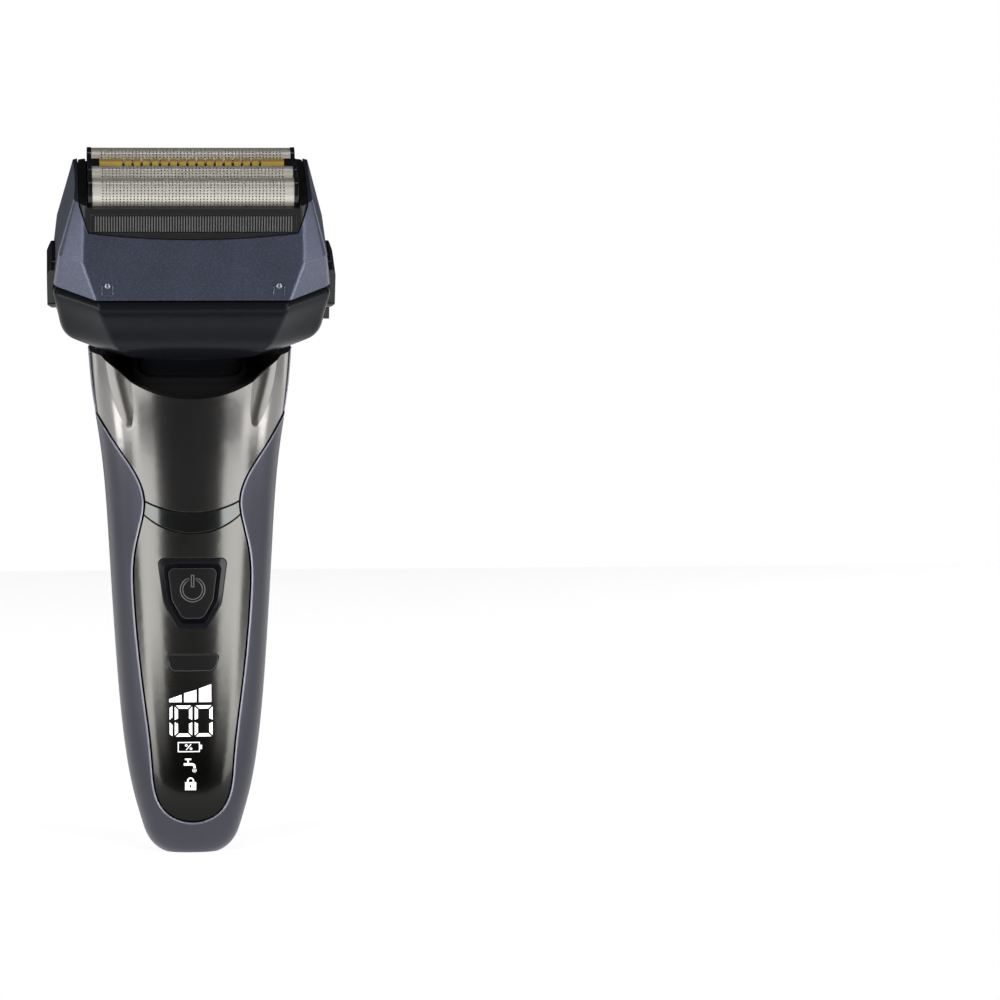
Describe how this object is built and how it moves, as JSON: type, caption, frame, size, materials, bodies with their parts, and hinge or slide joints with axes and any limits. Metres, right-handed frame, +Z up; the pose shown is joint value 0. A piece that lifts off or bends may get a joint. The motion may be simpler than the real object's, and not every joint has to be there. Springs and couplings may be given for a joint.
{
  "type": "electric foil shaver",
  "caption": "Cordless foil shaver with a curved handle, a floating, tilting head, a lift-off foil block with a gold slit comb, push buttons and a pop-up trimmer at the back.",
  "frame": {"origin": "middle of the charging socket's mouth in the flat foot under the handle, where the shaver stands upright", "axes": "+Z up the handle, front with the display facing -Y, +X to the viewer's right"},
  "size_m": [0.0674, 0.0477, 0.167],
  "materials": {
    "cover_blue": "satin metallic lacquer",
    "grip_blue": "satin soft-touch lacquer",
    "panel_gunmetal": "high gloss, metallic base",
    "gloss_black": "gloss",
    "black_plastic": "fine moulded",
    "foil_steel": "satin, etched",
    "gold_coat": "titanium-nitride gold",
    "steel": "ground",
    "rubber": "matt",
    "circuit_board": "solder resist",
    "cell_wrap": "shrink wrap",
    "copper": "enamelled wire",
    "display_smoke": "smoked"
  },
  "bodies": {
    "handle": {"front_upper_panel": "panel_gunmetal", "accent_band": "panel_gunmetal", "display_panel": "panel_gunmetal", "button_bezel": "gloss_black", "grip_shell": "grip_blue", "rear_cover": "grip_blue", "rear_screws": "steel", "inner_frame": "black_plastic", "base_plug": "black_plastic", "charge_socket": "steel", "main_board": "circuit_board", "led_display": "display_smoke", "tact_switches": "black_plastic", "battery_cell": "cell_wrap", "battery_cradle": "black_plastic", "trimmer_pocket": "black_plastic", "trimmer_pin": "steel", "neck_bulkhead": "black_plastic", "neck_bush": "black_plastic", "neck_boot": "rubber", "float_spring": "steel"},
    "power_button": {"power_button": "gloss_black"},
    "lock_button": {"lock_button": "gloss_black"},
    "trimmer": {"trimmer_housing": "gloss_black", "trimmer_comb": "steel"},
    "trimmer_blade": {"trimmer_blade": "steel"},
    "trimmer_slide": {"trimmer_slide": "black_plastic"},
    "neck": {"neck_post": "gloss_black", "retaining_clip": "steel"},
    "cross": {"gimbal_cross": "steel"},
    "head": {"lower_housing": "gloss_black", "head_carrier": "black_plastic", "motor_case": "black_plastic", "deck_plate": "black_plastic", "case_lid": "black_plastic", "pin_seals": "rubber", "stator_core": "steel", "stator_coil": "copper"},
    "head_lock": {"head_lock_slider": "gloss_black"},
    "front_carriage": {"front_carriage": "black_plastic"},
    "rear_carriage": {"rear_carriage": "black_plastic"},
    "foil_block": {"head_cover": "cover_blue", "latch_studs": "steel", "cassette_frame": "black_plastic", "comb_strips": "black_plastic"},
    "release_left": {"release_button_left": "gloss_black"},
    "release_right": {"release_button_right": "gloss_black"},
    "slit_foil": {"slit_comb": "gold_coat", "slit_caps": "black_plastic"},
    "slit_cutter": {"slit_blade": "steel"},
    "foil_front": {"foil_front": "foil_steel", "foil_caps_front": "black_plastic"},
    "cutter_front": {"cutter_front": "steel"},
    "foil_inner": {"foil_inner": "foil_steel", "foil_caps_inner": "black_plastic"},
    "cutter_inner": {"cutter_inner": "steel"},
    "foil_rear": {"foil_rear": "foil_steel", "foil_caps_rear": "black_plastic"},
    "cutter_rear": {"cutter_rear": "steel"}
  },
  "joints": [
    {"name": "neck_float", "type": "slide", "parent": "handle", "child": "neck", "axis": [0, -0.4067, 0.9135], "range_m": [-0.0008, 0], "stiffness_N_per_m": 4000, "springref_m": 0.0006, "deforming": ["float_spring"]},
    {"name": "head_nod", "type": "hinge", "parent": "neck", "child": "cross", "pos_m": [0, -0.003, 0.1275], "axis": [1, 0, 0], "range_deg": [-4, 4], "stiffness_Nm_per_rad": 1.2},
    {"name": "head_roll", "type": "hinge", "parent": "cross", "child": "head", "pos_m": [0, -0.003, 0.1275], "axis": [0, 0.9135, 0.4067], "range_deg": [-4, 4], "stiffness_Nm_per_rad": 1.2},
    {"name": "power_press", "type": "slide", "parent": "handle", "child": "power_button", "axis": [0, 1, 0], "range_m": [0, 0.0004], "stiffness_N_per_m": 2500},
    {"name": "lock_press", "type": "slide", "parent": "handle", "child": "lock_button", "axis": [0, 1, 0], "range_m": [0, 0.0004], "stiffness_N_per_m": 2500},
    {"name": "foil_block_lift", "type": "slide", "parent": "head", "child": "foil_block", "axis": [0, -0.4067, 0.9135], "range_m": [0, 0.03]},
    {"name": "release_press_left", "type": "slide", "parent": "head", "child": "release_left", "axis": [1, 0, 0], "range_m": [0, 0.001], "stiffness_N_per_m": 2500},
    {"name": "release_press_right", "type": "slide", "parent": "head", "child": "release_right", "axis": [-1, 0, 0], "range_m": [0, 0.001], "stiffness_N_per_m": 2500},
    {"name": "head_lock_slide", "type": "slide", "parent": "head", "child": "head_lock", "axis": [0, 0.9135, 0.4067], "range_m": [0, 0.0022]},
    {"name": "carriage_stroke_front", "type": "slide", "parent": "head", "child": "front_carriage", "axis": [1, 0, 0], "range_m": [-0.001, 0.001], "stiffness_N_per_m": 3000},
    {"name": "carriage_stroke_rear", "type": "slide", "parent": "head", "child": "rear_carriage", "axis": [1, 0, 0], "range_m": [-0.001, 0.001]},
    {"name": "foil_dip_front", "type": "slide", "parent": "foil_block", "child": "foil_front", "axis": [0, -0.4067, 0.9135], "range_m": [-0.0012, 0], "stiffness_N_per_m": 900, "springref_m": 0.0004},
    {"name": "foil_dip_inner", "type": "slide", "parent": "foil_block", "child": "foil_inner", "axis": [0, -0.4067, 0.9135], "range_m": [-0.0012, 0], "stiffness_N_per_m": 900, "springref_m": 0.0004},
    {"name": "foil_dip_rear", "type": "slide", "parent": "foil_block", "child": "foil_rear", "axis": [0, -0.4067, 0.9135], "range_m": [-0.0012, 0], "stiffness_N_per_m": 900, "springref_m": 0.0004},
    {"name": "foil_dip_slit", "type": "slide", "parent": "foil_block", "child": "slit_foil", "axis": [0, -0.4067, 0.9135], "range_m": [-0.0012, 0], "stiffness_N_per_m": 900, "springref_m": 0.0004},
    {"name": "cutter_dip_front", "type": "slide", "parent": "front_carriage", "child": "cutter_front", "axis": [0, -0.4067, 0.9135], "range_m": [-0.0012, 0]},
    {"name": "cutter_dip_inner", "type": "slide", "parent": "front_carriage", "child": "cutter_inner", "axis": [0, -0.4067, 0.9135], "range_m": [-0.0012, 0]},
    {"name": "cutter_dip_slit", "type": "slide", "parent": "rear_carriage", "child": "slit_cutter", "axis": [0, -0.4067, 0.9135], "range_m": [-0.0012, 0]},
    {"name": "cutter_dip_rear", "type": "slide", "parent": "rear_carriage", "child": "cutter_rear", "axis": [0, -0.4067, 0.9135], "range_m": [-0.0012, 0]},
    {"name": "trimmer_swing", "type": "hinge", "parent": "handle", "child": "trimmer", "pos_m": [0, 0.01322, 0.07876], "axis": [-1, 0, 0], "range_deg": [0, 40]},
    {"name": "trimmer_slider", "type": "slide", "parent": "handle", "child": "trimmer_slide", "axis": [0, 0, 1], "range_m": [0, 0.003]},
    {"name": "trimmer_blade_stroke", "type": "slide", "parent": "trimmer", "child": "trimmer_blade", "axis": [1, 0, 0], "range_m": [-0.0008, 0.0008], "stiffness_N_per_m": 2000}
  ],
  "couplings": [
    {"joint": "carriage_stroke_rear", "follows": "carriage_stroke_front", "ratio": -1},
    {"joint": "cutter_dip_front", "follows": "foil_dip_front", "ratio": 1},
    {"joint": "cutter_dip_inner", "follows": "foil_dip_inner", "ratio": 1},
    {"joint": "cutter_dip_slit", "follows": "foil_dip_slit", "ratio": 1},
    {"joint": "cutter_dip_rear", "follows": "foil_dip_rear", "ratio": 1},
    {"joint": "trimmer_slider", "follows": "trimmer_swing", "m_per_rad": 0.0042972}
  ]
}
